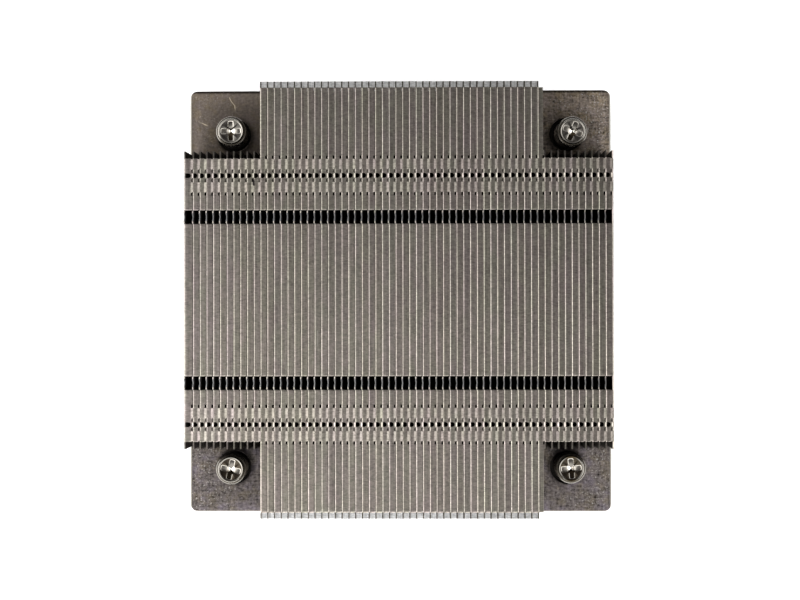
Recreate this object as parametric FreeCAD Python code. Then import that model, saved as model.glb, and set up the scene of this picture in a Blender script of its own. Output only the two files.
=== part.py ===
import FreeCAD, Part
import math
import os

# Passive heatsink for the processor of a flat server: a square base plate, folded sheet
# fins soldered on it side by side, and a sprung captive screw in each open corner.
# X runs across the fins, Y along them and Z up, all in millimetres. The origin is the
# middle of the machined land under the plate, the face that presses on the processor.

# Base plate, with a square machined land in the middle of its underside
PLATE_SIDE = 95.0
PLATE_THICKNESS = 4.3
PLATE_CORNER_RADIUS = 1.4
LAND_SIDE = 58.0
LAND_HEIGHT = 0.2

# Folded fins, each one strip of sheet with a foot below and a flange on top
SHEET_THICKNESS = 0.3
FIN_HEIGHT = 22.5
FIN_PITCH = 1.46
FIN_GAP = 0.06
FIN_SIDE_INSET = 1.5
FIN_END_INSET = 0.3
LAST_LONG_SETBACK = 1.4
SHORT_SETBACK = 1.6

# Open corners round the screws, from a screw's axis to the nearest fins
SCREW_SPACING = 75.0
SCREW_TO_LONG_FINS = 6.8
SCREW_TO_SHORT_FINS = 5.3

# Fold lock openings, and the slots cut across all fins
LOCK_TO_FLANGE_END = 3.65
LOCK_LENGTH = 1.1
LOCK_WIDTH = 0.75
LOCK_FACETS = 3
SLOT_TO_LOCK = 8.95
SLOT_WIDTH = 3.0

# Captive screw
SHOULDER_DIAMETER = 4.0
HEAD_HEIGHT = 2.4
HEAD_LIP = 0.2
HEAD_CHAMFER = 0.6
RECESS_MARGIN = 0.55
RECESS_WING = 1.0
RECESS_DEPTH = 1.7
RECESS_TAPER = 0.45
THREAD_DIAMETER = 3.0
THREAD_REACH = 5.0
GROOVE_DEPTH = 0.35
SHOULDER_CLEARANCE = 0.05

# Spring under the screw's head, and the pocket that it stands in
SPRING_WIRE = 0.75
SPRING_LENGTH = 13.6
SPRING_TURNS = 5.5
SPRING_CLEARANCE = 0.35
SPRING_SEAT_GAP = 0.06
SPRING_STEPS_PER_TURN = 8
SPRING_CLOSED_TURNS = 0.9
POCKET_CLEARANCE = 0.5
POCKET_DEPTH = 1.5

# Retaining clip in the screw's groove, under the plate
CLIP_THICKNESS = 0.6
CLIP_OVERLAP = 1.2
CLIP_MOUTH = 1.9
CLIP_CLEARANCE = 0.05
CLIP_END_PLAY = 0.1

# Places and sizes that follow from the ones above
UP = FreeCAD.Vector(0, 0, 1)
PLATE_BOTTOM = LAND_HEIGHT
PLATE_TOP = PLATE_BOTTOM + PLATE_THICKNESS
FIN_TOP = PLATE_TOP + FIN_HEIGHT
FLANGE_WIDTH = FIN_PITCH - FIN_GAP
FIN_COUNT = int((PLATE_SIDE - 2 * FIN_SIDE_INSET + FIN_GAP) / FIN_PITCH)
LONG_FIN_COUNT = int((SCREW_SPACING - 2 * SCREW_TO_LONG_FINS) / FIN_PITCH)
LEFT_FIN_COUNT = (FIN_COUNT - LONG_FIN_COUNT + 1) // 2
FIRST_FIN_X = -(FIN_COUNT * FIN_PITCH - FIN_GAP) / 2
LONG_FIN_LENGTH = PLATE_SIDE - 2 * FIN_END_INSET
SHORT_FIN_LENGTH = SCREW_SPACING - 2 * SCREW_TO_SHORT_FINS
LOCK_Y = SHORT_FIN_LENGTH / 2 - SHORT_SETBACK - LOCK_TO_FLANGE_END
SLOT_Y = LOCK_Y - SLOT_TO_LOCK
SHOULDER_RADIUS = SHOULDER_DIAMETER / 2
THREAD_RADIUS = THREAD_DIAMETER / 2
HOLE_RADIUS = SHOULDER_RADIUS + SHOULDER_CLEARANCE
SPRING_INNER_RADIUS = SHOULDER_RADIUS + SPRING_CLEARANCE
SPRING_OUTER_RADIUS = SPRING_INNER_RADIUS + SPRING_WIRE
HEAD_RADIUS = SPRING_OUTER_RADIUS + HEAD_LIP
POCKET_RADIUS = SPRING_OUTER_RADIUS + POCKET_CLEARANCE
POCKET_FLOOR = PLATE_TOP - POCKET_DEPTH
HEAD_UNDERSIDE = POCKET_FLOOR + SPRING_LENGTH
HEAD_TOP = HEAD_UNDERSIDE + HEAD_HEIGHT
SPRING_RISE = SPRING_LENGTH - SPRING_SEAT_GAP - SPRING_WIRE
GROOVE_RADIUS = THREAD_RADIUS - GROOVE_DEPTH
CLIP_BORE_RADIUS = GROOVE_RADIUS + CLIP_CLEARANCE
CLIP_RADIUS = HOLE_RADIUS + CLIP_OVERLAP
CLIP_TOP = PLATE_BOTTOM
CLIP_BOTTOM = CLIP_TOP - CLIP_THICKNESS


def screw_corners():
    """Each corner's name and the place of its screw's axis."""
    reach = SCREW_SPACING / 2
    return {
        "back_left": FreeCAD.Vector(-reach, reach, 0),
        "back_right": FreeCAD.Vector(reach, reach, 0),
        "front_left": FreeCAD.Vector(-reach, -reach, 0),
        "front_right": FreeCAD.Vector(reach, -reach, 0),
    }


def closed_face(points):
    """Flat face bounded by straight edges through the points."""
    return Part.Face(Part.makePolygon(list(points) + [points[0]]))


def block(low, high):
    """Box between two opposite corners."""
    size = high - low
    return Part.makeBox(size.x, size.y, size.z, low)


def cylinder(radius, bottom, top):
    """Upright cylinder about the local Z axis."""
    return Part.makeCylinder(radius, top - bottom, FreeCAD.Vector(0, 0, bottom))


# Base plate

def base_plate():
    half = PLATE_SIDE / 2
    plate = block(FreeCAD.Vector(-half, -half, PLATE_BOTTOM), FreeCAD.Vector(half, half, PLATE_TOP))
    upright = [e for e in plate.Edges if abs(e.Vertexes[0].Z - e.Vertexes[1].Z) > PLATE_THICKNESS / 2]
    plate = plate.makeFillet(PLATE_CORNER_RADIUS, upright)
    land_half = LAND_SIDE / 2
    land = block(FreeCAD.Vector(-land_half, -land_half, 0),
                 FreeCAD.Vector(land_half, land_half, PLATE_BOTTOM))
    hole = cylinder(HOLE_RADIUS, -PLATE_TOP, 2 * PLATE_TOP)
    pocket = cylinder(POCKET_RADIUS, POCKET_FLOOR, 2 * PLATE_TOP)
    bored = hole.fuse(pocket)
    return plate.fuse(land).cut([bored.translated(place) for place in screw_corners().values()])


# Folded fins

def flange_cut(start, end):
    """Box that takes the flange off a fin between two places along it."""
    return block(FreeCAD.Vector(SHEET_THICKNESS, start, FIN_TOP - SHEET_THICKNESS),
                 FreeCAD.Vector(2 * FIN_PITCH, end, FIN_TOP + SHEET_THICKNESS))


def lock_opening(y):
    """D-shaped opening in the flange: straight along the web, rounded away from it."""
    points = []
    full_width = math.cos(math.pi / (2 * LOCK_FACETS))
    for step in range(LOCK_FACETS + 1):
        turn = math.pi * (step / LOCK_FACETS - 0.5)
        points.append(FreeCAD.Vector(SHEET_THICKNESS + LOCK_WIDTH * math.cos(turn) / full_width,
                                     y + LOCK_LENGTH / 2 * math.sin(turn),
                                     FIN_TOP - 2 * SHEET_THICKNESS))
    return closed_face(points).extrude(UP * (3 * SHEET_THICKNESS))


def folded_fin(length, setback):
    """One strip folded into a channel, with its web's outer face at X = 0."""
    foot_top = PLATE_TOP + SHEET_THICKNESS
    flange_bottom = FIN_TOP - SHEET_THICKNESS
    section = [
        (0, PLATE_TOP),
        (FLANGE_WIDTH, PLATE_TOP),
        (FLANGE_WIDTH, foot_top),
        (SHEET_THICKNESS, foot_top),
        (SHEET_THICKNESS, flange_bottom),
        (FLANGE_WIDTH, flange_bottom),
        (FLANGE_WIDTH, FIN_TOP),
        (0, FIN_TOP),
    ]
    end = length / 2
    outline = closed_face([FreeCAD.Vector(x, -end, z) for x, z in section])
    fin = outline.extrude(FreeCAD.Vector(0, length, 0))
    cuts = []
    if setback > 0:
        cuts.append(flange_cut(-end - setback, setback - end))
        cuts.append(flange_cut(end - setback, end + setback))
    for middle in (-SLOT_Y, SLOT_Y):
        cuts.append(flange_cut(middle - SLOT_WIDTH / 2, middle + SLOT_WIDTH / 2))
    for middle in (-LOCK_Y, LOCK_Y):
        cuts.append(lock_opening(middle))
    return fin.cut(cuts).removeSplitter()


def fin_row(fin, first, count):
    """Copies of a fin at its places in the row, counted from the left edge."""
    shift = [FIRST_FIN_X + (first + step) * FIN_PITCH for step in range(count)]
    return [fin.translated(FreeCAD.Vector(x, 0, 0)) for x in shift]


def end_sheet():
    """Plain upright sheet that closes the row at its right end, beside the last fin."""
    start = FIRST_FIN_X + FIN_COUNT * FIN_PITCH
    end = SHORT_FIN_LENGTH / 2
    return block(FreeCAD.Vector(start, -end, PLATE_TOP),
                 FreeCAD.Vector(start + SHEET_THICKNESS, end, FIN_TOP))


# Captive screws

def cross_recess():
    """Cross-shaped driver recess: two crossing bars, narrower at the floor than at the mouth."""
    span = 2 * (HEAD_RADIUS - HEAD_CHAMFER - RECESS_MARGIN)
    floor = HEAD_TOP - RECESS_DEPTH
    floor_span = span * RECESS_TAPER
    profile = [(-span / 2, HEAD_TOP), (-floor_span / 2, floor), (floor_span / 2, floor),
               (span / 2, HEAD_TOP)]
    side = closed_face([FreeCAD.Vector(x, -RECESS_WING / 2, z) for x, z in profile])
    bar = side.extrude(FreeCAD.Vector(0, RECESS_WING, 0))
    return bar.fuse(bar.rotated(FreeCAD.Vector(), UP, 90)).removeSplitter()


def captive_screw():
    """Head, plain shoulder, clip groove and threaded end, turned about the Z axis."""
    shoulder_end = CLIP_TOP + CLIP_END_PLAY
    tip = PLATE_BOTTOM - THREAD_REACH
    profile = [
        (0, HEAD_TOP),
        (HEAD_RADIUS - HEAD_CHAMFER, HEAD_TOP),
        (HEAD_RADIUS, HEAD_TOP - HEAD_CHAMFER),
        (HEAD_RADIUS, HEAD_UNDERSIDE),
        (SHOULDER_RADIUS, HEAD_UNDERSIDE),
        (SHOULDER_RADIUS, shoulder_end),
        (GROOVE_RADIUS, shoulder_end),
        (GROOVE_RADIUS, CLIP_BOTTOM),
        (THREAD_RADIUS, CLIP_BOTTOM),
        (THREAD_RADIUS, tip),
        (0, tip),
    ]
    outline = closed_face([FreeCAD.Vector(r, 0, z) for r, z in profile])
    turned = outline.revolve(FreeCAD.Vector(0, 0, 0), UP, 360)
    return turned.cut(cross_recess())


def spring_climb(share):
    """Share of the height gained after a share of the turns: flat at both closed ends."""
    closed = SPRING_CLOSED_TURNS / SPRING_TURNS
    flat_rise = SPRING_CLOSED_TURNS * SPRING_WIRE / SPRING_RISE
    if share <= closed:
        return flat_rise * share / closed
    if share >= 1 - closed:
        return 1 - flat_rise * (1 - share) / closed
    return flat_rise + (1 - 2 * flat_rise) * (share - closed) / (1 - 2 * closed)


def spring():
    """Compression spring of straight short lengths, from the pocket's floor to the head."""
    middle = (SPRING_INNER_RADIUS + SPRING_OUTER_RADIUS) / 2
    reach = SPRING_WIRE / 2
    steps = int(SPRING_TURNS * SPRING_STEPS_PER_TURN)
    points = []
    for step in range(steps + 1):
        turn = 2 * math.pi * step / SPRING_STEPS_PER_TURN
        height = POCKET_FLOOR + reach + SPRING_RISE * spring_climb(step / steps)
        points.append(FreeCAD.Vector(middle * math.cos(turn), middle * math.sin(turn), height))
    start = points[0]
    corners = [(-reach, -reach), (reach, -reach), (reach, reach), (-reach, reach)]
    wire = Part.makePolygon([start + FreeCAD.Vector(x, 0, z) for x, z in corners + corners[:1]])
    return Part.makePolygon(points).makePipeShell([wire], True, False, 1)


def retaining_clip():
    """Open ring snapped into the screw's groove, wider than the plate's hole."""
    ring = cylinder(CLIP_RADIUS, CLIP_BOTTOM, CLIP_TOP)
    bore = cylinder(CLIP_BORE_RADIUS, CLIP_BOTTOM - CLIP_THICKNESS, CLIP_TOP + CLIP_THICKNESS)
    mouth = block(FreeCAD.Vector(-2 * CLIP_RADIUS, -CLIP_MOUTH / 2, CLIP_BOTTOM - CLIP_THICKNESS),
                  FreeCAD.Vector(0, CLIP_MOUTH / 2, CLIP_TOP + CLIP_THICKNESS))
    return ring.cut([bore, mouth])


def write(name, shape):
    shape.exportStep("parts/" + name + ".step")


os.makedirs("parts", exist_ok=True)
write("base_plate", base_plate())

long_fin = folded_fin(LONG_FIN_LENGTH, 0)
last_long_fin = folded_fin(LONG_FIN_LENGTH, LAST_LONG_SETBACK)
short_fin = folded_fin(SHORT_FIN_LENGTH, SHORT_SETBACK)
long_row = fin_row(long_fin, LEFT_FIN_COUNT, LONG_FIN_COUNT - 1)
long_row += fin_row(last_long_fin, LEFT_FIN_COUNT + LONG_FIN_COUNT - 1, 1)
for number, fin in enumerate(long_row, start=1):
    write("long_fin_%02d" % number, fin)
first_right = LEFT_FIN_COUNT + LONG_FIN_COUNT
write("left_short_fins", Part.makeCompound(fin_row(short_fin, 0, LEFT_FIN_COUNT)))
right_row = fin_row(short_fin, first_right, FIN_COUNT - first_right) + [end_sheet()]
write("right_short_fins", Part.makeCompound(right_row))

for corner, place in screw_corners().items():
    write("screw_" + corner, captive_screw().translated(place))
    write("spring_" + corner, spring().translated(place))
    write("clip_" + corner, retaining_clip().translated(place))
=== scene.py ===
import random
from math import asin, cos, hypot, pi, radians, sin, sqrt

import bpy
import numpy as np
from bpy.props import FloatProperty, FloatVectorProperty, IntProperty, PointerProperty
from mathutils import Matrix, Vector


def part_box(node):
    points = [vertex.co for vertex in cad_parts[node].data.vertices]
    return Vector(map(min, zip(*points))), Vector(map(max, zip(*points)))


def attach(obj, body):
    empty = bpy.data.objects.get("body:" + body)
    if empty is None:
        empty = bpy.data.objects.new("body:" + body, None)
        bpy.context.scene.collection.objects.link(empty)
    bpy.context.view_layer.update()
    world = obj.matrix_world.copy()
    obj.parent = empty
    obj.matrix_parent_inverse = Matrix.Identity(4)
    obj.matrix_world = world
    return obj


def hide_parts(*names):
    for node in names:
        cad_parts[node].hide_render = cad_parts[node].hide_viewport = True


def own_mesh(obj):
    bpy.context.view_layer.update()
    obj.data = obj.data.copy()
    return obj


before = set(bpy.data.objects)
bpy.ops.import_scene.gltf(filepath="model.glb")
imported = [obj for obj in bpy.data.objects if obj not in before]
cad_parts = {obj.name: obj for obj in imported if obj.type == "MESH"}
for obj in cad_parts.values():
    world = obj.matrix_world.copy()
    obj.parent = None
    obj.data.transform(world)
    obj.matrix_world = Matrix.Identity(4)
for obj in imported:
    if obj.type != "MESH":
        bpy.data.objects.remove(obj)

bl_info = {
    "name": "Passive heatsink looks",
    "version": (1, 0, 0),
    "blender": (4, 5, 0),
    "location": "View3D > Sidebar > Heatsink",
    "description": "Builds the shown pieces of a passive heatsink on its packed frame",
    "category": "Object",
}

MM = 0.001
CORNERS = sorted(n[len("screw_"):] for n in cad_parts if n.startswith("screw_"))
LONG_FINS = sorted(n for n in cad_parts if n.startswith("long_fin_"))
WINGS = ["left_short_fins", "right_short_fins"]
FIN_LOW, FIN_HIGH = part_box(LONG_FINS[0])
FIN_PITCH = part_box(LONG_FINS[1])[0].x - FIN_LOW.x
FLANGE_EDGE = FIN_HIGH.x - FIN_LOW.x
STACK_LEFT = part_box(WINGS[0])[0].x
OPEN_WEBS = [STACK_LEFT, FIN_LOW.x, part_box(LONG_FINS[-1])[0].x]
WING_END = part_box(WINGS[0])[1].y
PLATE_TOP, FIN_TOP = FIN_LOW.z, FIN_HIGH.z
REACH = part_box("base_plate")[1].x
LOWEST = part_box("screw_" + CORNERS[0])[0].z
HEAD_DISH = 0.12 * MM
SPRING_BORE = 2.35 * MM
ROUND_STEPS = 64
# Each screw's lean across and along in mm, its turn in degrees, its rim's painted highlight and the least
# share of it at the back and front, and the painted light and shade on its flats and on the recess's
# edges
HEADS = {"back_left": (0.53, -0.28, 1, 0.85, 0.7, 0.42, 1.5),
         "back_right": (0.6, -0.5, -22, 0.75, 0.5, 0.42, 0.8),
         "front_left": (0.48, 0.4, -12, 0.75, 0.85, 0.2, 1.3),
         "front_right": (0.12, 0.6, 5, 0.72, 0.16, 0.2, 1.4)}


def length(name, value, text, low=0.0):
    """Property for a length kept in metres, given here in millimetres."""
    return FloatProperty(name=name, description=text, default=value * MM, min=low * MM,
                         precision=5, subtype="DISTANCE", unit="LENGTH")


def share(name, value, text):
    return FloatProperty(name=name, description=text, default=value, min=0, max=1, subtype="FACTOR")


def colour(name, value, text):
    return FloatVectorProperty(name=name, description=text, default=value, min=0, max=1, size=3,
                               subtype="COLOR")


def spot(name, value, text):
    return FloatVectorProperty(name=name, description=text, default=value, size=3, subtype="XYZ",
                               unit="LENGTH", precision=5)


class HeatsinkFinSettings(bpy.types.PropertyGroup):
    sheet: length("Sheet", 0.3, "Thickness of the fin's sheet")
    bend: length("Bend radius", 0.33, "Outer radius of the bend between web and flange", 0.3)
    seam: length("Seam", 0.02, "Gap between a flange and the next fin's bend")
    first_lean: length("First lean", 0.4, "Lean of the stack's first web at its top")
    rise: length("Ear rise", 0.12, "Height of the lock ears over the flange")
    lock_place: length("Lock place", 26.88, "Distance of the lock row from the middle")
    slot_place: length("Slot place", 17.93, "Distance of the cross slot from the middle")
    slot_width: length("Slot width", 3.0, "Width of the cross slot along the fins")
    long_end: length("Long end", 1.4, "Coined end of a long fin's flange")
    short_end: length("Short end", 1.6, "Bare web at each end of a short fin")
    coined: length("Coined depth", 0.14, "Depth of the coined ends below the flange")
    last_width: length("Last width", 1.24, "Width of the last long fin with its flange")
    colour: colour("Fin colour", (0.2, 0.181, 0.161), "Base colour of the fins")
    roughness: share("Fin roughness", 0.3, "Roughness of the fins")
    tint_spread: share("Tint spread", 0.3, "How much the fins differ from one another")
    seed: IntProperty(name="Seed", description="Start of the fins' random differences", default=7)


class HeatsinkPlateSettings(bpy.types.PropertyGroup):
    corner: length("Corner radius", 1.7, "Radius of the plate's corners")
    edge: length("Edge rounding", 0.32, "Rounding of the plate's upper edge")
    land_side: length("Land side", 58.0, "Side of the machined land under the plate")
    land_height: length("Land height", 0.2, "Height of the machined land")
    pocket_radius: length("Pocket radius", 3.75, "Radius of a screw pocket")
    pocket_depth: length("Pocket depth", 1.5, "Depth of a screw pocket")
    hole_radius: length("Hole radius", 2.35, "Radius of a clearance hole")
    colour: colour("Plate colour", (0.118, 0.102, 0.092), "Base colour of the plate")
    stain: colour("Stain colour", (0.127, 0.107, 0.082), "Colour of the warm stains on the plate")
    roughness: share("Plate roughness", 0.58, "Roughness of the plate")


class HeatsinkScrewSettings(bpy.types.PropertyGroup):
    head_radius: length("Head radius", 2.82, "Radius of the head above its collar")
    recess_span: length("Recess span", 4.5, "Length of the driver recess across the head")
    recess_width: length("Recess width", 1.02, "Width of an arm of the driver recess")
    recess_depth: length("Recess depth", 1.7, "Depth of the driver recess")
    thread_pitch: length("Thread pitch", 0.5, "Pitch of the screw thread", 0.2)
    thread_depth: length("Thread depth", 0.27, "Depth of the screw thread")
    colour: colour("Steel colour", (0.23, 0.214, 0.19), "Base colour of the screws, springs and clips")
    roughness: share("Steel roughness", 0.2, "Roughness of the screws")


class HeatsinkSpringSettings(bpy.types.PropertyGroup):
    wire: length("Wire", 0.75, "Diameter of the spring wire")
    turns: FloatProperty(name="Turns", description="Turns of a spring", default=5.5, min=3)
    clip_mouth: length("Clip mouth", 1.9, "Width of a retaining clip's mouth")
    clip_bore: length("Clip bore", 1.2, "Radius of a retaining clip's bore")
    colour: colour("Spring colour", (0.15, 0.14, 0.13), "Base colour of the springs")
    roughness: share("Spring roughness", 0.3, "Roughness of the springs")


class HeatsinkStageSettings(bpy.types.PropertyGroup):
    lens: FloatProperty(name="Lens", description="Focal length for a 36 mm sensor", default=99.8,
                        min=20, subtype="DISTANCE_CAMERA")
    camera_place: spot("Camera place", (0.0089, -0.00495, 0.505), "Where the camera stands")
    camera_aim: spot("Camera aim", (-0.00007, 0.00019, 0.0045), "Where the camera looks")
    tent: FloatProperty(name="Tent light", description="Strength of the light from all sides",
                        default=4.6, min=0)
    overhead: share("Overhead", 0.12, "Brightness right overhead as a share of the sides")
    roll: FloatProperty(name="Camera roll", description="Turn of the camera about its own view",
                        default=radians(-0.08), subtype="ANGLE", unit="ROTATION")


# Shapes

def plain_object(name, vertices, faces):
    mesh = bpy.data.meshes.new(name)
    mesh.from_pydata([tuple(v) for v in vertices], [], faces)
    made = bpy.data.objects.new(name, mesh)
    bpy.context.scene.collection.objects.link(made)
    return made


def mesh_piece(name, vertices, faces, material, body, node, sharp=30):
    """Closed mesh as an object that rides on a body and stands for a CAD node."""
    piece = plain_object(name, vertices, faces)
    piece.data.validate()
    piece.data.shade_smooth()
    piece.data.set_sharp_from_angle(angle=radians(sharp))
    piece.data.materials.append(material)
    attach(piece, body)
    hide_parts(node)
    return piece


def stacked(rings, closed_ends=True):
    """Vertices and faces of rings with the same number of points, lofted and capped."""
    count = len(rings[0])
    vertices = [p for ring in rings for p in ring]
    faces = []
    for level in range(len(rings) - 1):
        for k in range(count):
            a = level * count + k
            b = level * count + (k + 1) % count
            faces.append((a, b, b + count, a + count))
    if closed_ends:
        faces.append(tuple(reversed(range(count))))
        faces.append(tuple(range((len(rings) - 1) * count, len(rings) * count)))
    return vertices, faces


def lathe_ring(radius, height, count, centre=(0, 0)):
    return [(centre[0] + radius * cos(2 * pi * k / count),
             centre[1] + radius * sin(2 * pi * k / count), height) for k in range(count)]


def cut_by(base, cutters):
    """Vertices and faces of an object with others cut out of it. All of them are removed."""
    for cutter in cutters:
        step = base.modifiers.new("cut", "BOOLEAN")
        step.operation = "DIFFERENCE"
        step.solver = "EXACT"
        step.object = cutter
    shape = base.evaluated_get(bpy.context.evaluated_depsgraph_get()).to_mesh()
    vertices = [tuple(v.co) for v in shape.vertices]
    faces = [tuple(p.vertices) for p in shape.polygons]
    for thing in [base, *cutters]:
        bpy.data.objects.remove(thing)
    return vertices, faces


# Materials

def feed(node, inputs):
    """Node with its inputs set to values or linked to other nodes."""
    for key, value in inputs.items():
        if isinstance(value, bpy.types.NodeSocket):
            node.id_data.links.new(value, node.inputs[key])
        else:
            node.inputs[key].default_value = value
    return node


def add(tree, kind, inputs=None, **settings):
    """New shader node with its settings and inputs."""
    node = tree.nodes.new("ShaderNode" + kind)
    for key, value in settings.items():
        setattr(node, key, value)
    return feed(node, inputs or {})


def after(kind, inputs, **settings):
    """New shader node in the node tree of the sockets that its inputs are linked to."""
    linked = next(value for value in inputs.values() if isinstance(value, bpy.types.NodeSocket))
    return add(linked.id_data, kind, inputs, **settings)


def calc(operation, a, b=0.0, c=0.0):
    return after("Math", {0: a, 1: b, 2: c}, operation=operation).outputs[0]


def vector_calc(operation, a, b=(0, 0, 0)):
    node = after("VectorMath", {0: a, 1: b}, operation=operation)
    return node.outputs["Value" if operation in ("LENGTH", "DOT_PRODUCT") else "Vector"]


def product(value, *others):
    """Values multiplied with one another."""
    for other in others:
        value = calc("MULTIPLY", value, other)
    return value


def split(vector):
    """The x, y and z of a vector."""
    return after("SeparateXYZ", {0: vector}).outputs


def stored(tree, name):
    """Number that the mesh keeps under a name."""
    return add(tree, "Attribute", attribute_name=name).outputs["Fac"]


def blended(factor, a, b, kind="MIX"):
    """Colour a mixed with colour b."""
    node = after("Mix", {0: factor, 6: a, 7: b}, data_type="RGBA", blend_type=kind)
    return node.outputs[2]


def tinted(base, tint):
    """Colour multiplied with another colour or with a tone."""
    return blended(1.0, base, tint, "MULTIPLY")


def remap(value, low, high, new_low=0.0, new_high=1.0):
    return after("MapRange", {"Value": value, "From Min": low, "From Max": high,
                              "To Min": new_low, "To Max": new_high}).outputs[0]


def rough_pattern(place, scale, stretch=(1, 1, 1), detail=2.0, offset=0.0):
    """Noise from 0 to 1 at a place in metres, finer where the scale per metre is larger."""
    inputs = {"Vector": vector_calc("MULTIPLY", place, stretch), "Scale": scale,
              "Detail": detail, "W": offset}
    return after("TexNoise", inputs, noise_dimensions="4D").outputs["Fac"]


def line_mark(place, start, end, width):
    """1 on a straight line between two places in millimetres, falling to 0 at its width."""
    a = Vector((*start, 0)) * MM
    along = Vector((*end, 0)) * MM - a
    offset = vector_calc("SUBTRACT", vector_calc("MULTIPLY", place, (1, 1, 0)), a)
    part = vector_calc("DOT_PRODUCT", offset, along / along.length_squared)
    part = after("Clamp", {"Value": part}).outputs[0]
    nearest = after("VectorMath", {0: along, "Scale": part}, operation="SCALE").outputs[0]
    away = vector_calc("LENGTH", vector_calc("SUBTRACT", offset, nearest))
    return remap(away, width * MM, width * 0.4 * MM)


def marks(place, lines):
    """Strongest of several line marks."""
    found = None
    for start, end, width in lines:
        one = line_mark(place, start, end, width)
        found = one if found is None else calc("MAXIMUM", found, one)
    return found


def metal(name, roughness):
    """New metal material: its node tree, its shader and the place on the piece."""
    material = bpy.data.materials.new(name)
    material.use_nodes = True
    tree = material.node_tree
    shader = feed(tree.nodes["Principled BSDF"], {"Metallic": 1.0, "Roughness": roughness})
    place = add(tree, "TexCoord").outputs["Object"]
    return material, tree, shader, place


def bumped(shader, height, distance, edge=0.0):
    """Fine relief, and rounded edges where an edge radius is given."""
    inputs = {"Height": height, "Distance": distance}
    if edge:
        inputs["Normal"] = add(shader.id_data, "Bevel", {"Radius": edge}, samples=4).outputs[0]
    feed(shader, {"Normal": after("Bump", inputs).outputs[0]})


def fin_material(s):
    """Rolled sheet: each fin's tint and grain, painted light and shade in its faces' tones, and painted
    light that changes slowly over the block.
    """
    material, tree, shader, place = metal("fin_sheet", s.roughness)
    x, y = split(place)[:2]
    own_tint = add(tree, "Attribute", attribute_name="tint").outputs["Color"]
    lane, face_tone = stored(tree, "lane"), stored(tree, "tone")
    streak = rough_pattern(place, 4200, (1, 0.02, 1), offset=lane)
    grain = rough_pattern(place, 3400, (0.4, 1, 1), offset=lane)
    patch = rough_pattern(place, 420, (1, 0.4, 1), offset=lane)
    texture = calc("ADD", remap(streak, 0.3, 0.7, 0.82, 1.18), remap(grain, 0.3, 0.7, -0.3, 0.33))

    # Painted light: from left to right the flanges darken and the bends brighten, and all of it darkens
    # backwards
    normal = place.node.outputs["Normal"]
    bent = remap(vector_calc("DOT_PRODUCT", normal, (-1, 0, 0)), 0.1, 0.35)
    flat_painted_light = product(remap(x, -REACH, 0, 1.27, 1.12), remap(x, 0, REACH, 1.0, 0.76))
    bend_painted_light = remap(x, -REACH, REACH, 1.04, 1.24)
    bend_share = product(bent, calc("SUBTRACT", bend_painted_light, flat_painted_light))
    tone = product(texture, face_tone, calc("ADD", flat_painted_light, bend_share),
                   remap(y, -REACH, 0, 1.05, 1.0), remap(y, -0.2 * REACH, REACH, 1.02, 0.73))
    hue = blended(remap(patch, 0.38, 0.62), (0.985, 1.01, 0.96, 1), (1.02, 0.98, 1.01, 1))
    base = tinted(own_tint, hue)
    # The brightest painted faces, the slots' web tops and the pale coined ends, turn neutral grey
    neutral = (s.colour[1], s.colour[1], s.colour[1], 1)
    base = blended(remap(face_tone, 1.2, 1.4), base, neutral)
    base = tinted(base, tone)

    pale = marks(place, [((-17.5, -6.7), (-17.5, -9.9), 0.12), ((-43.7, -26.6), (-43.5, -26.9), 0.25)])
    dark = marks(place, [((-31.4, 26.1), (-31.25, 25.7), 0.34), ((-31.25, 25.7), (-31.25, 24.9), 0.34)])
    base = blended(product(pale, 0.5), base, (0.45, 0.42, 0.38, 1))
    base = blended(dark, base, (0.012, 0.01, 0.01, 1))
    # Faces in deep painted shade, the webs and the coined ends' bends, turn matte instead of metal
    outside_deep_shade = remap(face_tone, 0.2, 0.3)
    feed(shader, {"Base Color": base, "Metallic": outside_deep_shade, "Specular Tint": (0.4, 0.4, 0.4, 1),
                  "Specular IOR Level": product(outside_deep_shade, 0.5)})
    bumped(shader, grain, 0.0004 * MM)
    return material


def screw_distance(across, along, inward=0.0):
    """Distance from the nearest screw's axis, or from a place that much nearer both middle lines."""
    axis = screw_axis(CORNERS[-1])[0] - inward
    offset = [calc("SUBTRACT", part, axis) for part in (across, along)]
    offset = after("CombineXYZ", dict(enumerate(offset))).outputs[0]
    return vector_calc("LENGTH", offset)


def plate_shade(x, y, across, along):
    """Painted shade over the plate: dark at its rims, by the pockets and by the fins, with painted light
    brighter backwards and to the right at the back.
    """
    skew = product(x, calc("ADD", y, REACH))
    return product(
        remap(y, REACH - 0.38 * MM, REACH - 0.7 * MM, 0.2, 1.0),
        remap(across, REACH - 0.5 * MM, REACH - 1.4 * MM, 0.75, 1.0),
        remap(screw_distance(across, along, 0.3 * MM), 3.9 * MM, 4.7 * MM, 0.4, 1.0),
        remap(along, WING_END + 0.5 * MM, WING_END + 1.5 * MM, 0.12, 1.0),
        remap(y, -REACH, REACH, 0.95, 1.18), calc("MULTIPLY_ADD", skew, 40, 1.0))


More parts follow.
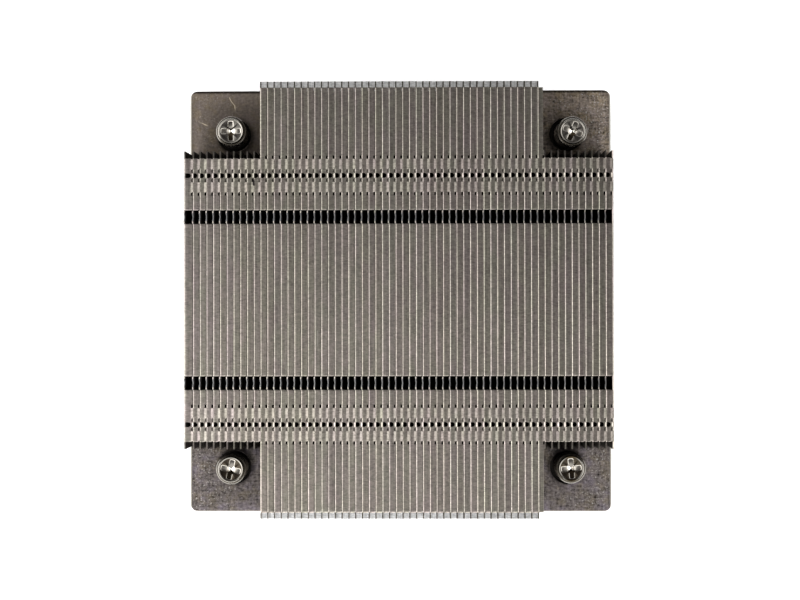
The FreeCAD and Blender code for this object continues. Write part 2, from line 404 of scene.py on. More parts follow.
def plate_material(s):
    """Dull nickel: brushed texture, stains, pale specks and scratches, painted highlights on the edges,
    and painted shade over the plate and in the pockets.
    """
    material, tree, shader, place = metal("plate_nickel", s.roughness)
    x, y, z = split(place)
    across, along = calc("ABSOLUTE", x), calc("ABSOLUTE", y)
    streak = rough_pattern(place, 3000, (0.1, 1, 1), 3)
    grain = rough_pattern(place, 2000, (0.7, 1, 1), 4, 3.0)
    upright = rough_pattern(place, 2600, (1, 0.12, 1), 2, 12.0)
    cloud = rough_pattern(place, 520, (0.8, 1, 1), 4, 5.0)
    haze = rough_pattern(place, 380, detail=4, offset=9.0)
    speck = rough_pattern(place, 2700, detail=1, offset=2.0)

    base = blended(remap(cloud, 0.47, 0.62, 0, 0.9), (*s.colour, 1), (*s.stain, 1))
    cool = (s.colour[0], s.colour[0] * 0.86, s.colour[0] * 0.93, 1)
    hazy = product(remap(haze, 0.5, 0.66, 0, 0.8), remap(y, -20 * MM, 30 * MM, 1.0, 0.35))
    base = blended(hazy, base, cool)

    # The texture and the specks are fainter at the back left corner
    relief = remap(calc("SUBTRACT", x, y), -70 * MM, -20 * MM, 0.6, 1.4)
    shade = plate_shade(x, y, across, along)
    tone = remap(streak, 0.3, 0.7, 0.8, 1.2)
    for pattern, low, high, depth in ((haze, 0.3, 0.7, 0.13), (grain, 0.3, 0.7, 0.42),
                                      (upright, 0.35, 0.65, 0.14)):
        tone = calc("ADD", tone, remap(pattern, low, high, -depth, depth))
    tone = calc("MULTIPLY_ADD", calc("SUBTRACT", tone, 1.0), relief, 1.0)
    base = tinted(base, product(tone, shade))
    warmth = blended(remap(y, -REACH, REACH), (0.97, 0.975, 1.04, 1), (0.995, 0.95, 0.88, 1))
    base = tinted(base, warmth)
    flecked = calc("ADD", rough_pattern(place, 240, offset=21.0),
                   remap(across, 36 * MM, 45 * MM, -0.05, 0.2))
    specks = product(remap(speck, 0.58, 0.74, 0, 0.65),
                     remap(flecked, 0.45, 0.65, 0.2, 1.0), shade, relief)
    base = blended(specks, base, (0.36, 0.337, 0.317, 1))

    pale = marks(place, [
        ((-38.6, 46.0), (-38.2, 45.2), 0.14), ((-38.2, 45.2), (-37.4, 44.2), 0.12),
        ((-37.4, 44.2), (-37.3, 43.2), 0.16), ((-45.6, 40.6), (-43.6, 39.7), 0.12),
        ((46.05, 45.35), (46.15, 45.2), 0.3)])
    worn = remap(rough_pattern(place, 900, detail=1, offset=6.0), 0.36, 0.5, 0.2)
    base = blended(product(pale, worn), base, (0.4, 0.34, 0.26, 1))
    # Painted highlights: the side edges and the front edge are lighter
    sides = remap(across, REACH - 0.4 * MM, REACH - 0.3 * MM)
    base = blended(sides, base, (0.2, 0.19, 0.168, 1))
    front = remap(y, 0.4 * MM - REACH, 0.2 * MM - REACH, 0, 0.5)
    base = blended(front, base, (0.3, 0.28, 0.25, 1))
    # Painted shade: the pockets' walls and floors turn near black
    inside = screw_distance(across, along)
    inside = remap(inside, s.pocket_radius + 0.15 * MM, s.pocket_radius)
    pocket_shade = product(inside, remap(z, PLATE_TOP - 0.02 * MM, PLATE_TOP - 0.3 * MM))
    base = blended(pocket_shade, base, (0.02, 0.018, 0.016, 1))

    brushed = add(tree, "CombineXYZ", {1: 1.0}).outputs[0]
    rough = remap(streak, 0.3, 0.7, s.roughness - 0.05, s.roughness + 0.05)
    feed(shader, {"Base Color": base, "Roughness": rough, "Anisotropic": 0.8, "Tangent": brushed})
    bumped(shader, calc("ADD", streak, grain), 0.006 * MM)
    return material


def steel_material(name, tint, roughness, scale, stretch, toned=False):
    """Bright steel with fine drawn or turned marks, and with painted light and shade from its faces'
    tones if it has them.
    """
    material, tree, shader, place = metal(name, roughness)
    drawn = rough_pattern(place, scale, stretch)
    tone = remap(drawn, 0.3, 0.7, 0.85, 1.12)
    base = (*tint, 1)
    if toned:
        face_tone = stored(tree, "tone")
        tone = product(tone, face_tone)
        # Faces in painted shade take a warmer colour and a weaker specular tint
        shady = (tint[0], tint[1] * 0.8, tint[2] * 0.5, 1)
        base = blended(remap(face_tone, 0.12, 0.3), shady, base)
        feed(shader, {"Specular Tint": remap(face_tone, 0.05, 0.3, 0.2, 1.0)})
    rough = remap(drawn, 0.3, 0.7, roughness - 0.05, roughness + 0.06)
    feed(shader, {"Base Color": tinted(base, tone), "Roughness": rough})
    bumped(shader, drawn, 0.0008 * MM, edge=0 if toned else 0.06 * MM)
    return material


# Fins

# Columns from the foot's edge over the web and the bend to the flange's edge
BEND_ANGLES = (0, 20, 40, 58, 74, 90)
FOOT_EDGE, FOOT_ROOT, FOOT_BEND, FOOT_UP, WEB_HIGH, BEND = range(6)
BEND_END = BEND + len(BEND_ANGLES) - 1
HOLE, EAR, SLIT, SLIT_END, RIM, EDGE, OVER = range(BEND_END + 1, BEND_END + 8)
# The fold lock in mm: its opening's edge, and where its parts start and end along and across the fin
HOLE_EDGE = ((0.0, 1.08), (0.2, 1.05), (0.36, 0.94), (0.47, 0.76), (0.52, 0.6))
HOLE_HALF, TONGUE_HALF = 0.52, 0.48
DASH, EARS, DOT = (0.68, 1.36), (1.45, 3.55), (3.6, 4.3)
EAR_START, OVER_END, TONGUE_START = 1.09, 1.64, 1.32
# The stub that shows in a cross slot, and the steps to a coined end and to a narrow flange
STUB = (0.16, 0.6)
STEP, JOG = 0.12, 0.1
# How near a row lies that counts as at an edge
NEAR = 0.001


class FinSheet:
    """One folded fin as a grid of rows along it and columns round its fold, all in millimetres."""

    # Painted shade on the webs deep between the fins
    WEB_SHADE = 0.1

    def __init__(self, s, half, setback, coined_ends, narrow=1.0):
        self.coined_ends = coined_ends
        self.coined, self.sheet, self.bend, self.rise = (
            size / MM for size in (s.coined, s.sheet, s.bend, s.rise))
        self.top = FIN_TOP / MM - self.rise
        self.bottom = PLATE_TOP / MM
        self.edge = (FIN_PITCH - s.seam) / MM
        self.lock = s.lock_place / MM
        self.slot = [(s.slot_place + side * s.slot_width / 2) / MM for side in (-1, 1)]
        self.half = half / MM
        self.flange_end = self.half - setback / MM
        self.narrow = narrow
        self.narrow_from = WING_END / MM
        self.rows = self.row_places()

    def row_places(self):
        """Places of the rows along the fin, close together at its cuts and ends."""
        low, high = self.slot
        near, far = STUB
        found = [0, low / 3, low * 2 / 3, low - 0.3, low - 0.1, low, low + near, low + far,
                 (low + high) / 2, high - far, high - near, high, high + 0.1, high + 0.3]
        apart = [d for d, x in HOLE_EDGE] + [*DASH, *EARS, *DOT]
        found += [self.lock + side * d for d in apart for side in (-1, 1)]
        if self.narrow < 1:
            found += [self.narrow_from, self.narrow_from + JOG]
        found = [y for y in found if y < self.flange_end - 0.02]
        if self.flange_end - max(found) > 5:
            found.append((self.flange_end + max(found)) / 2)
        found += [self.flange_end - 0.35, self.flange_end - 0.1, self.flange_end,
                  self.flange_end + STEP, self.half]
        kept = []
        for y in sorted(found):
            if not kept or y - kept[-1] > 0.02:
                kept.append(y)
        return [-y for y in reversed(kept[1:])] + kept

    def present(self, column, y):
        """Whether the sheet is there in a cell, named by its first column and its middle."""
        along = abs(y)
        apart = abs(along - self.lock)
        low, high = self.slot
        if column == WEB_HIGH and apart < HOLE_HALF:
            return False
        if column < BEND:
            return True
        if along > self.flange_end:
            return self.coined_ends and column < EDGE
        if low < along < high:
            inside = min(along - low, high - along)
            return STUB[0] < inside < STUB[1] and column < BEND + 2
        if column == EDGE:
            return apart < TONGUE_HALF or EARS[0] < apart < EARS[1]
        if apart < HOLE_HALF:
            return column >= HOLE
        if DASH[0] < apart < DASH[1]:
            return column != SLIT
        if DOT[0] < apart < DOT[1]:
            return column < SLIT
        return True

    def place(self, column, y):
        """Outer and inner point of the sheet at a grid point, across the fin and up."""
        along = abs(y)
        apart = abs(along - self.lock)
        low, high = self.slot
        t, r, top, bottom = self.sheet, self.bend, self.top, self.bottom
        at_slot = min(abs(along - low), abs(along - high)) < NEAR
        if column <= FOOT_ROOT:
            x = FLANGE_EDGE / MM if column == FOOT_EDGE else 0.45
            return (x, bottom), (x, bottom + t)
        if column == FOOT_BEND:
            return (0.12, bottom + 0.1), (0.36, bottom + t + 0.04)
        if column in (FOOT_UP, WEB_HIGH):
            z = bottom + 0.42 if column == FOOT_UP else top - 0.8
            return (0, z), (t, z)
        if column <= BEND_END:
            angle = radians(BEND_ANGLES[column - BEND])
            lean, sheet = 0.0, t
            inside = min(along - low, high - along)
            if inside > 0.01:
                lean = -0.15 if inside < STUB[1] + 0.01 else 0.0
                sheet = 0.24 if inside < STUB[1] + 0.01 else 0.2
            drop = 0.03 * sin(angle) ** 2 if at_slot else 0.0
            if along > self.flange_end + 0.01:
                drop = self.coined * sin(angle)
            outer = (r - r * cos(angle) + lean, top - r + r * sin(angle) - drop)
            inner = (r - (r - sheet) * cos(angle) + lean, top - r + (r - sheet) * sin(angle) - drop)
            return outer, inner
        x = {HOLE: 0.62, EAR: EAR_START, SLIT: 1.2, SLIT_END: 1.36,
             RIM: 1.4, EDGE: self.edge, OVER: OVER_END}[column]
        if DOT[0] - NEAR <= apart <= DOT[1] + NEAR and column == SLIT:
            x = 1.14
        raised = 0.0
        flat_inner = None
        if apart <= HOLE_HALF + NEAR and column == HOLE:
            x = min(HOLE_EDGE, key=lambda e: abs(e[0] - apart))[1]
        in_ears = EARS[0] - NEAR <= apart <= EARS[1] + NEAR
        if in_ears and along < self.flange_end - 0.01:
            raised = self.rise * max(0.0, x - EAR_START) / (OVER_END - EAR_START)
            flat_inner = top + 0.005 if column == OVER else None
        if apart <= TONGUE_HALF + NEAR:
            x = {EAR: 1.18, SLIT: TONGUE_START}.get(column, x)
            raised = self.rise * max(0.0, x - TONGUE_START) / (OVER_END - TONGUE_START)
        drop = 0.03 if at_slot or abs(along - self.flange_end) < NEAR else 0.0
        if at_slot and column >= EAR:
            x -= 0.2 * (x - 0.6) / 0.8
        if column == EDGE and not raised:
            drop += 0.015
        if along > self.flange_end + 0.01:
            drop = self.coined + 0.04 * (along - self.flange_end)
        if along > self.narrow_from + JOG / 2:
            x = r + (x - r) * self.narrow
        z = top + raised - drop
        inner_z = top - t if flat_inner is None else flat_inner
        if column == OVER and flat_inner is None:
            inner_z = z - 0.2
        if 0 < raised and column < OVER:
            inner_z = z - t
        return (x, z), (x, inner_z)

    def tone(self, column, y):
        """Brightness of a cell: painted shade on the webs and the ends, painted light on the coined ends
        and the slots' web tops, slightly brighter pressed tongues and darker pressed ears.
        """
        apart = abs(abs(y) - self.lock)
        low, high = self.slot
        if column < WEB_HIGH:
            return self.WEB_SHADE
        # Painted shade on bare ends and on the coined ends' bends; the rest of the coined ends gets pale
        # painted light
        if abs(y) > self.flange_end:
            if not self.coined_ends:
                return 0.5 if y > 0 else 0.7
            if column < BEND_END:
                return 0.15 if y > 0 or column < BEND_END - 1 else 0.9
            if abs(y) < self.flange_end + STEP:
                return 1.0
            return 3.9 if y > 0 else 2.25
        # Painted highlight on the web's top in a cross slot
        if column == WEB_HIGH and low < abs(y) < high:
            return 1.45
        if column <= BEND_END:
            return 0.93
        if apart < TONGUE_HALF and column >= SLIT:
            return 1.05
        if EARS[0] < apart < EARS[1] and column >= EAR:
            return 0.9
        return 1.0

    def build(self):
        """Vertices in metres, quads and tones of the quads, with the web's face at x 0."""
        index, vertices, tones, faces = {}, [], [], []

        def point(column, row, side):
            key = (column, row, side)
            if key not in index:
                y = self.rows[row]
                x, z = self.place(column, y)[side]
                index[key] = len(vertices)
                vertices.append((x * MM, y * MM, z * MM))
            return index[key]

        there = {(c, k) for c in range(OVER) for k in range(len(self.rows) - 1)
                 if self.present(c, (self.rows[k] + self.rows[k + 1]) / 2)}
        for c, k in sorted(there):
            faces.append([point(c, k, 0), point(c, k + 1, 0), point(c + 1, k + 1, 0), point(c + 1, k, 0)])
            faces.append([point(c, k, 1), point(c + 1, k, 1), point(c + 1, k + 1, 1), point(c, k + 1, 1)])
            sides = {(c - 1, k): ((c, k), (c, k + 1)), (c + 1, k): ((c + 1, k + 1), (c + 1, k)),
                     (c, k - 1): ((c + 1, k), (c, k)), (c, k + 1): ((c, k + 1), (c + 1, k + 1))}
            for neighbour, (a, b) in sides.items():
                if neighbour not in there:
                    faces.append([point(*a, 0), point(*a, 1), point(*b, 1), point(*b, 0)])
            tone = self.tone(c, (self.rows[k] + self.rows[k + 1]) / 2)
            tones += [tone] * (len(faces) - len(tones))
        return np.array(vertices), faces, tones


class EndSheet(FinSheet):
    """Plain upright sheet that closes the row: a web with a rounded top, without foot or flange."""

    # Lighter painted shade on a web that stands in the open
    WEB_SHADE = 0.8

    def row_places(self):
        return [-self.half, 0, self.half]

    def present(self, column, y):
        return FOOT_UP <= column < BEND_END

    def place(self, column, y):
        if column == FOOT_UP:
            return (0, self.bottom), (self.sheet, self.bottom)
        return super().place(column, y)


def tone_borders(mesh, tones):
    """Edges between faces of different tones."""
    first, found = {}, set()
    for face, tone in zip(mesh.polygons, tones):
        for key in face.edge_keys:
            if first.setdefault(key, tone) != tone:
                found.add(key)
    return found


def fin_piece(name, placed, rng, s, material):
    """Piece of one or more fins, given as sheets with the places where their webs start."""
    vertices, faces, tints, lanes, tones = [], [], [], [], []
    for (base, quads, quad_tones), x in placed:
        fin = base.copy()
        droop = rng.random() * 0.008
        flange = fin[:, 2] > FIN_TOP - 0.5 * MM
        fin[flange, 2] -= droop * np.clip(fin[flange, 0], 0, None)
        if abs(x - STACK_LEFT) < FIN_PITCH / 2:
            high = np.clip((fin[:, 2] - PLATE_TOP) / (FIN_TOP - PLATE_TOP), 0, 1)
            fin[:, 0] -= s.first_lean * high * (fin[:, 0] < 0.4 * MM)
        # Webs at the open sides of the rows take the lighter painted shade of the end sheet
        if min(abs(x - place) for place in OPEN_WEBS) < FIN_PITCH / 2:
            quad_tones = [max(tone, EndSheet.WEB_SHADE) if tone == FinSheet.WEB_SHADE else tone
                          for tone in quad_tones]
        fin[:, 0] += x
        light, green, blue = (1 + s.tint_spread * rng.uniform(-d, d) for d in (0.2, 0.05, 0.07))
        tint = [s.colour[0] * light, s.colour[1] * light * green, s.colour[2] * light * blue, 1]
        faces += [[len(vertices) + k for k in quad] for quad in quads]
        vertices += fin.tolist()
        tints += tint * len(fin)
        lanes += [rng.uniform(0, 50)] * len(fin)
        tones += quad_tones
    piece = mesh_piece(name + "_looks", vertices, faces, material, "heatsink", name)
    mesh = piece.data
    for label, kind, domain, values in (("tint", "FLOAT_COLOR", "POINT", tints),
                                        ("lane", "FLOAT", "POINT", lanes),
                                        ("tone", "FLOAT", "FACE", tones)):
        attribute = mesh.attributes.new(label, kind, domain)
        attribute.data.foreach_set("color" if label == "tint" else "value", values)
    crisp = tone_borders(mesh, tones)
    for edge in mesh.edges:
        if edge.key in crisp:
            edge.use_edge_sharp = True


class HEATSINK_OT_fins(bpy.types.Operator):
    """Build the folded fins of the middle block and of both wings"""
    bl_idname = "heatsink.fins"
    bl_label = "Fins"

    def execute(self, context):
        s = context.scene.heatsink_fins
        rng = random.Random(s.seed)
        material = fin_material(s)
        sheet = FinSheet(s, FIN_HIGH.y, s.long_end, True).build()
        narrow = (s.last_width - s.bend) / (FIN_PITCH - s.seam - s.bend)
        last_sheet = FinSheet(s, FIN_HIGH.y, s.long_end, False, narrow).build()
        for name in LONG_FINS:
            shape = last_sheet if name == LONG_FINS[-1] else sheet
            fin_piece(name, [(shape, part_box(name)[0].x)], rng, s, material)
        sheet = FinSheet(s, WING_END, s.short_end, False).build()
        for name in WINGS:
            low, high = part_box(name)
            count = int((high.x - low.x + FIN_PITCH - FLANGE_EDGE) / FIN_PITCH)
            placed = [(sheet, low.x + k * FIN_PITCH) for k in range(count)]
            if name == WINGS[1]:
                placed.append((EndSheet(s, WING_END, 0, False).build(), high.x - s.sheet))
            fin_piece(name, placed, rng, s, material)
        return {"FINISHED"}


# Plate

def rounded_square(half, radius, height, steps=8):
    points = []
    for quarter in range(4):
        turn = quarter * pi / 2
        centre = Vector((cos(turn + pi / 4), sin(turn + pi / 4)))
        centre *= (half - radius) * sqrt(2)
        for k in range(steps + 1):
            angle = turn + pi / 2 * k / steps
            points.append((centre.x + radius * cos(angle), centre.y + radius * sin(angle), height))
    return points


def screw_axis(corner):
    low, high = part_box("screw_" + corner)
    return (low.x + high.x) / 2, (low.y + high.y) / 2


def leaning(vertices, corner):
    """Vertices of a screw or spring moved to its corner, with the lean that the photo shows."""
    x, y = screw_axis(corner)
    lean_x, lean_y = HEADS[corner][:2]
    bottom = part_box("clip_" + corner)[0].z
    per_height = 1 / (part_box("screw_" + corner)[1].z - bottom)
    moved = []
    for vx, vy, vz in vertices:
        part = (vz - bottom) * per_height
        moved.append((vx + x + lean_x * MM * part, vy + y + lean_y * MM * part, vz))
    return moved


class HEATSINK_OT_plate(bpy.types.Operator):
    """Build the base plate with its screw pockets and its machined land"""
    bl_idname = "heatsink.plate"
    bl_label = "Base plate"

    def execute(self, context):
        s = context.scene.heatsink_plate
        low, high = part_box("base_plate")
        half, top, edge = high.x, high.z, s.edge
        under, land = low.z + s.land_height, s.land_side / 2
        rings = [rounded_square(land - 0.05 * MM, 0.4 * MM, low.z),
                 rounded_square(land, 0.45 * MM, low.z + 0.05 * MM),
                 rounded_square(land, 0.45 * MM, under),
                 rounded_square(half - edge / 2, s.corner - edge / 2, under),
                 rounded_square(half, s.corner, under + edge / 2)]
        for k in range(5):
            angle = pi / 2 * k / 4
            inset = edge * (1 - cos(angle))
            height = top - edge + edge * sin(angle)
            rings.append(rounded_square(half - inset, s.corner - inset, height))
        base = plain_object("plate_blank", *stacked(rings))
        floor = top - s.pocket_depth
        hole, pocket = s.hole_radius, s.pocket_radius
        rim, sink = 0.12 * MM, 0.25 * MM
        profile = [(hole + sink, under - MM), (hole + sink, under), (hole, under + sink),
                   (hole, floor), (pocket, floor), (pocket, top - rim), (pocket + rim, top),
                   (pocket + rim, top + MM)]
        cutters = []
        for corner in CORNERS:
            axis = screw_axis(corner)
            rings = [lathe_ring(r, z, ROUND_STEPS, axis) for r, z in profile]
            cutters.append(plain_object("pocket", *stacked(rings)))
        vertices, faces = cut_by(base, cutters)
        mesh_piece("base_plate_looks", vertices, faces, plate_material(s), "heatsink",
                   "base_plate")
        return {"FINISHED"}


# Screws

def screw_shape(s):
    """Turned and threaded screw about the Z axis, with its driver recess cut out."""
    low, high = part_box("screw_" + CORNERS[0])
    clip_low, clip_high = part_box("clip_" + CORNERS[0])
    top, tip, collar = high.z / MM, low.z / MM, (high.x - low.x) / 2 / MM
    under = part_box("spring_" + CORNERS[0])[1].z / MM + 0.06
    head = s.head_radius / MM
    shoulder_end, thread_start = clip_high.z / MM + 0.1, clip_low.z / MM
    shoulder, groove, crest = 2.0, 1.15, 1.5
    pitch, depth = s.thread_pitch / MM, s.thread_depth / MM
    face = top - HEAD_DISH / MM
    profile = [(0.9, face), (2.4, face), (2.5, face + 0.03), (2.59, top - 0.01), (2.64, top),
               (2.7, top - 0.02), (head - 0.05, top - 0.09), (head, top - 0.2),
               (head, top - 1.2), (head + 0.03, top - 1.27), (3.0, top - 1.3), (3.12, top - 1.32),
               (collar - 0.04, top - 1.37), (collar, top - 1.45),
               (collar, under + 0.1), (collar - 0.1, under), (2.15, under), (shoulder, under - 0.15),
               (shoulder, shoulder_end + 0.06), (1.94, shoulder_end), (groove, shoulder_end),
               (groove, thread_start), (1.3, thread_start - 0.02)]
    rings = [lathe_ring(r * MM, z * MM, ROUND_STEPS) for r, z in profile]
    first, last = thread_start - 0.1, tip + 0.3
    per_turn, run_out = 8, 6
    levels = int((first - last) / pitch * per_turn)
    for level in range(levels + 1):
        z = first + (last - first) * level / levels
        fade = min(1.0, level / run_out, (levels - level) / run_out)
        ring = []
        for k in range(ROUND_STEPS):
            phase = (z / pitch - k / ROUND_STEPS) % 1.0
            ridge = min(1.0, 2.4 * min(phase, 1 - phase))
            radius = crest - depth + depth * ridge * fade
            angle = 2 * pi * k / ROUND_STEPS
            ring.append((radius * cos(angle) * MM, radius * sin(angle) * MM, z * MM))
        rings.append(ring)
    rings += [lathe_ring(r * MM, z * MM, ROUND_STEPS) for r, z in ((1.1, tip + 0.05), (1.0, tip))]
    rings.reverse()
    base = plain_object("screw_blank", *stacked(rings))

    # The recess is two tapered bars, given as heights with reach and half width, and a pointed cone
    span, width, deep = s.recess_span / MM / 2, s.recess_width / MM, s.recess_depth / MM
    cutters = []
    for turn in (0, pi / 2):
        bar = []
        for z, reach, half in ((-0.7, 0.86, 0.42), (-0.08, 0.94, 0.49), (0.0, 1.0, 0.61),
                               (0.1, 1.07, 0.76)):
            reach, half, z = reach * span, half * width, face + z
            near, end = reach * 0.93, half * 0.55
            outline = [(reach, -end), (reach, end), (near, half), (-near, half),
                       (-reach, end), (-reach, -end), (-near, -half), (near, -half)]
            bar.append([((x * cos(turn) - y * sin(turn)) * MM,
                         (x * sin(turn) + y * cos(turn)) * MM, z * MM) for x, y in outline])
        cutters.append(plain_object("recess_bar", *stacked(bar)))
    cone = [lathe_ring(r * MM, (face + z) * MM, 24) for r, z in (
        (0.05, -deep), (0.13, -1.1), (0.55, -0.93), (0.98, -0.68), (1.03, -0.3), (1.1, 0.0), (1.16, 0.1))]
    cutters.append(plain_object("recess_cone", *stacked(cone)))
    return cut_by(base, cutters)


def head_painted_light(mesh, corner):
    """Tone of each face of a screw, all painted light and shade: dull flats and walls, bright rims,
    shining sides of the recess.
    """
    # Radii in mm: the rim's inner edge, the neck under it, and the recess's cone, painted glint and point
    rim_start, neck, cone, glint, point = 2.43, 3.1, 1.02, 0.62, 0.12
    x, y = screw_axis(corner)
    lean_x, lean_y, _, rim, least, flats, edges = HEADS[corner]
    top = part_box("screw_" + corner)[1].z - HEAD_DISH
    tones = []
    for face in mesh.polygons:
        across, along = face.center.x - x - lean_x * MM, face.center.y - y - lean_y * MM
        out, depth = hypot(across, along) / MM, (top - face.center.z) / MM
        beside = abs(across) > abs(along)
        if depth > 3:
            tone = 1.0
        # Painted highlight on the rim, strongest at the left and right
        elif out > rim_start and depth < 0.05:
            tone = rim * (least + (1 - least) * (across / MM / out) ** 2)
        elif out > rim_start:
            tone = 0.25 if out < neck else 0.6
        elif abs(depth) < 0.01:
            tone = flats
        elif depth < 0.085:
            tone = edges if beside or along > 0 else edges * 0.5
        # Painted glint in the recess's cone beside the axis, with painted shade at its point
        elif out < cone and depth > 0.6 and beside:
            tone = 0.2 if out < point else 4.5 if out < glint else 1.4
        elif face.normal.z < 0.3:
            tone = 0.6
        else:
            # Painted light on the recess's sides beside the axis, painted shade at the back and more at
            # the front
            tone = 1.0 if beside else 0.5 if along > 0 else 0.15
        tones.append(tone)
    return tones


class HEATSINK_OT_screws(bpy.types.Operator):
    """Build the four captive screws with their recesses as the photo turns them"""
    bl_idname = "heatsink.screws"
    bl_label = "Screws"

    def execute(self, context):
        s = context.scene.heatsink_screws
        material = steel_material("screw_steel", s.colour, s.roughness, 1500, (1, 1, 0.3), True)
        vertices, faces = screw_shape(s)
        for corner in CORNERS:
            turned = Matrix.Rotation(radians(HEADS[corner][2]), 4, "Z")
            placed = leaning([turned @ Vector(v) for v in vertices], corner)
            piece = mesh_piece("screw_looks_" + corner, placed, faces, material, corner + "_screw",
                               "screw_" + corner, 35)
            tones = head_painted_light(piece.data, corner)
            piece.data.attributes.new("tone", "FLOAT", "FACE").data.foreach_set("value", tones)
        return {"FINISHED"}


# Springs and clips

def spring_shape(s, low, high, radius):
    """Round wire spring with closed ends that are ground flat, about the Z axis."""
    wire, turns, steps, around = s.wire / 2, s.turns, 28, 12
    start, end = low + 0.12 * MM, high - 0.12 * MM
    free_pitch = (end - start - 2 * s.wire) / (turns - 2)
    rings = []
    total = int(turns * steps)
    for step in range(total + 1):
        turn = step / steps
        if turn < 1:
            z = start + s.wire * turn
        elif turn > turns - 1:
            z = end - s.wire * (turns - turn)
        else:
            z = start + s.wire + free_pitch * (turn - 1)
        angle = 2 * pi * turn
        ring = []
        for k in range(around):
            out = radius + wire * cos(2 * pi * k / around)
            height = z + wire * sin(2 * pi * k / around)
            ring.append((out * cos(angle), out * sin(angle), min(high, max(low, height))))
        rings.append(ring)
    vertices, faces = stacked(rings)
    return vertices, [tuple(reversed(face)) for face in faces]


def clip_shape(s, low, high, outer):
    """Open ring with slightly rounded edges, about the Z axis."""
    rings = []
    for z, inset in ((low, 0.08 * MM), (low + 0.08 * MM, 0), (high - 0.08 * MM, 0), (high, 0.08 * MM)):
        big, small, mouth = outer - inset, s.clip_bore + inset, s.clip_mouth / 2 + inset
        outside, inside = asin(mouth / big), asin(mouth / small)
        steps = 40
        ring = []
        for first, radius, forward in ((outside, big, True), (inside, small, False)):
            angles = [first + (2 * pi - 2 * first) * k / steps for k in range(steps + 1)]
            for angle in angles if forward else reversed(angles):
                ring.append((-radius * cos(angle), -radius * sin(angle), z))
        rings.append(ring)
    vertices, faces = stacked(rings, False)
    count = len(rings[0])
    for level, flip in ((0, True), (len(rings) - 1, False)):
        for k in range(count // 2 - 1):
            a, b = level * count + k, level * count + count - 1 - k
            face = (a, a + 1, b - 1, b)
            faces.append(tuple(reversed(face)) if flip else face)
    return vertices, faces


class HEATSINK_OT_springs(bpy.types.Operator):
    """Build the four springs and the four retaining clips"""
    bl_idname = "heatsink.springs"
    bl_label = "Springs and clips"

    def execute(self, context):
        s = context.scene.heatsink_springs
        steel = context.scene.heatsink_screws
        wire = steel_material("spring_wire", s.colour, s.roughness, 3000, (1, 1, 1))
        pressed = steel_material("clip_steel", steel.colour, steel.roughness + 0.08, 2600, (0.2, 1, 1))
        for corner in CORNERS:
            x, y = screw_axis(corner)
            low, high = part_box("spring_" + corner)
            vertices, faces = spring_shape(s, low.z, high.z, SPRING_BORE + s.wire / 2)
            piece = mesh_piece("spring_looks_" + corner, leaning(vertices, corner), faces, wire,
                               "heatsink", "spring_" + corner, 50)
            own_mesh(piece)
            low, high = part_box("clip_" + corner)
            vertices, faces = clip_shape(s, low.z, high.z, (high.y - low.y) / 2)
            placed = [(vx + x, vy + y, vz) for vx, vy, vz in vertices]
            mesh_piece("clip_looks_" + corner, placed, faces, pressed, corner + "_clip",
                       "clip_" + corner)
        return {"FINISHED"}


# Stage

def tent_world(s):
    """Light from all sides: dim overhead, stronger at both ends of x and from the front and left."""
    world = bpy.data.worlds.new("tent")
    world.use_nodes = True
    tree = world.node_tree
    tree.nodes.clear()
    direction = add(tree, "TexCoord").outputs["Generated"]
    x, y = split(direction)[:2]
    dim_way = Vector((0.1, 0.18, 1)).normalized()
    near = vector_calc("DOT_PRODUCT", direction, dim_way)
    side = after("MapRange", {"Value": near, "From Min": 0.985, "From Max": 0.76},
                 interpolation_type="SMOOTHSTEP").outputs[0]
    level = calc("MULTIPLY_ADD", side, 1 - s.overhead, s.overhead)
    lean = calc("MULTIPLY_ADD", x, -0.2, calc("MULTIPLY_ADD", y, -0.7, 1.0))
    ends = calc("MULTIPLY_ADD", product(x, x), 0.9, 0.5)
    strength = product(level, product(lean, ends), s.tent)
    tone = blended(side, (1.0, 0.985, 0.96, 1), (1.0, 1.0, 1.0, 1))
    light = after("Background", {"Color": tone, "Strength": strength}).outputs[0]
    after("OutputWorld", {0: light})
    return world


def looking(place, target):
    """Matrix of something at a place that looks at a target with +Y up."""
    back = (Vector(place) - Vector(target)).normalized()
    right = Vector((0, 1, 0)).cross(back).normalized()
    up = back.cross(right)
    turned = Matrix((right, up, back)).transposed().to_4x4()
    return Matrix.Translation(place) @ turned


def floor_material():
    material = bpy.data.materials.new("pale_floor")
    material.use_nodes = True
    tree = material.node_tree
    tree.nodes.clear()
    place = add(tree, "TexCoord").outputs["Object"]
    tone = remap(rough_pattern(place, 30, detail=1), 0, 1, 0.88, 0.92)
    matt = after("BsdfDiffuse", {"Color": tone}).outputs[0]
    clear = add(tree, "BsdfTransparent").outputs[0]
    behind = add(tree, "NewGeometry").outputs["Backfacing"]
    mixed = after("MixShader", {0: behind, 1: matt, 2: clear}).outputs[0]
    after("OutputMaterial", {0: mixed})
    return material


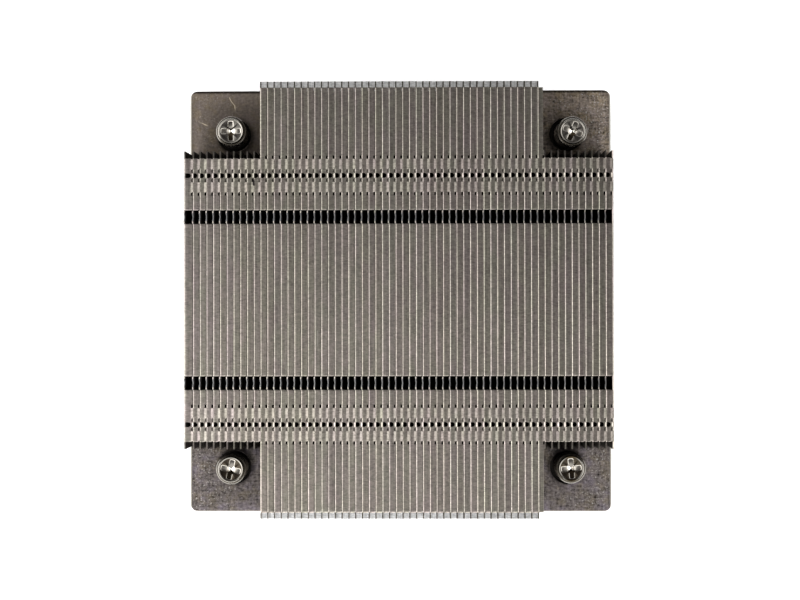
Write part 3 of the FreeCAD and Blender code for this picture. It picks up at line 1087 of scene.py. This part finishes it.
class HEATSINK_OT_stage(bpy.types.Operator):
    """Set up the camera, the soft light and the pale floor"""
    bl_idname = "heatsink.stage"
    bl_label = "Stage"

    def execute(self, context):
        s = context.scene.heatsink_stage
        scene = context.scene
        camera = bpy.data.objects.new("camera", bpy.data.cameras.new("camera"))
        camera.data.lens = s.lens
        camera.data.sensor_width = 36
        camera.data.clip_start, camera.data.clip_end = 0.01, 20
        camera.matrix_world = looking(s.camera_place, s.camera_aim) @ Matrix.Rotation(s.roll, 4, "Z")
        scene.collection.objects.link(camera)
        scene.camera = camera

        far = 2.5
        corners = [(-far, -far, LOWEST), (far, -far, LOWEST), (far, far, LOWEST), (-far, far, LOWEST)]
        floor = plain_object("floor", corners, [(0, 1, 2, 3)])
        floor.data.materials.append(floor_material())
        scene.world = tent_world(s)
        scene.view_settings.view_transform = "Standard"
        return {"FINISHED"}


class HEATSINK_PT_panel(bpy.types.Panel):
    """Lists the steps that build the heatsink"""
    bl_idname = "HEATSINK_PT_panel"
    bl_label = "Passive heatsink"
    bl_space_type = "VIEW_3D"
    bl_region_type = "UI"
    bl_category = "Heatsink"

    def draw(self, context):
        for group, _, operator in STEPS:
            box = self.layout.box()
            settings = getattr(context.scene, group)
            for name in type(settings).__annotations__:
                box.prop(settings, name)
            box.operator(operator.bl_idname)


STEPS = [("heatsink_stage", HeatsinkStageSettings, HEATSINK_OT_stage),
         ("heatsink_plate", HeatsinkPlateSettings, HEATSINK_OT_plate),
         ("heatsink_fins", HeatsinkFinSettings, HEATSINK_OT_fins),
         ("heatsink_screws", HeatsinkScrewSettings, HEATSINK_OT_screws),
         ("heatsink_springs", HeatsinkSpringSettings, HEATSINK_OT_springs)]
CLASSES = [item for step in STEPS for item in step[1:]] + [HEATSINK_PT_panel]


def register():
    for item in CLASSES:
        bpy.utils.register_class(item)
    for group, kind, _ in STEPS:
        setattr(bpy.types.Scene, group, PointerProperty(type=kind))


def unregister():
    for group, _, _ in STEPS:
        delattr(bpy.types.Scene, group)
    for item in reversed(CLASSES):
        bpy.utils.unregister_class(item)


def main():
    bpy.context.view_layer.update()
    register()
    for _, _, operator in STEPS:
        module, name = operator.bl_idname.split(".")
        getattr(getattr(bpy.ops, module), name)()


if __name__ == "__main__":
    main()
